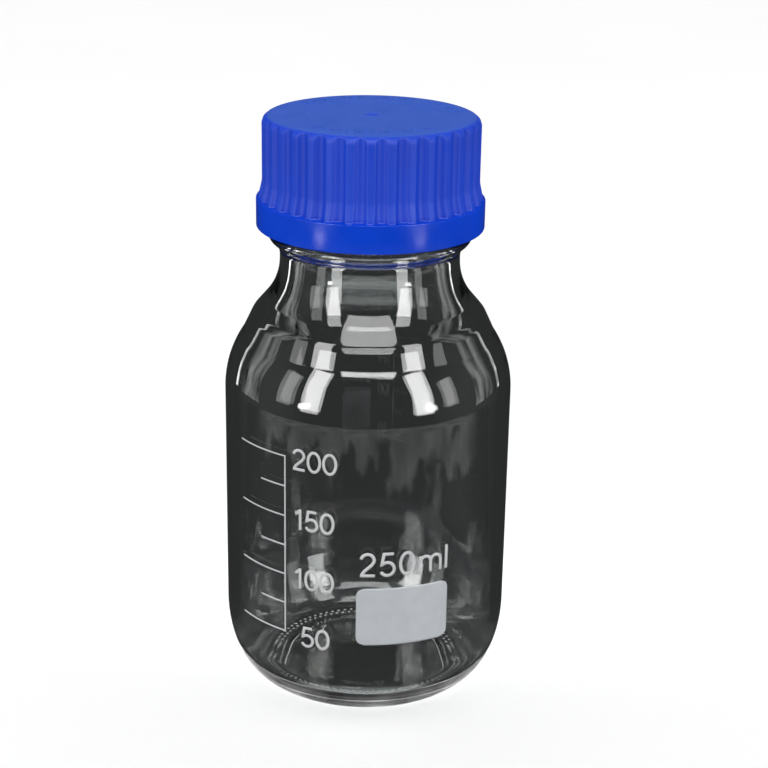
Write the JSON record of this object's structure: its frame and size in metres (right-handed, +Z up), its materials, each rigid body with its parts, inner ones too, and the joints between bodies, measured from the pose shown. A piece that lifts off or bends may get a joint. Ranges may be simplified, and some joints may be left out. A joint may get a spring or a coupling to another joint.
{
  "type": "laboratory reagent bottle",
  "caption": "Cylindrical clear glass reagent bottle with rounded shoulder, narrow neck, volume scale, writing patch and a fluted blue screw cap over a pouring ring.",
  "frame": {"origin": "centre of the standing ring, on the surface the bottle stands on", "axes": "+Z up along the bottle's axis; the volume scale and the writing patch face -Y"},
  "size_m": [0.07, 0.0703, 0.1424],
  "materials": {
    "glass": "clear fire-polished borosilicate",
    "enamel_scale": "fired white ceramic enamel",
    "enamel_patch": "fired white ceramic enamel, matt",
    "ring_plastic": "injection-moulded polypropylene",
    "liner": "white silicone sheet",
    "cap_plastic": "semi-gloss polypropylene, satin on the flutes"
  },
  "bodies": {
    "bottle": {"glass_bottle": "glass", "graduation_scale": "enamel_scale", "write_on_patch": "enamel_patch", "pouring_ring": "ring_plastic"},
    "liner": {"seal_liner": "liner"},
    "cap": {"screw_cap": "cap_plastic"}
  },
  "joints": [
    {"name": "cap_lift", "type": "slide", "parent": "bottle", "child": "liner", "axis": [0, 0, 1], "range_m": [0, 0.028]},
    {"name": "cap_turn", "type": "hinge", "parent": "liner", "child": "cap", "pos_m": [0, 0, 0.1159], "axis": [0, 0, 1], "range_deg": [0, 2520]}
  ],
  "couplings": [
    {"joint": "cap_lift", "follows": "cap_turn", "m_per_rad": 0.0006366}
  ]
}
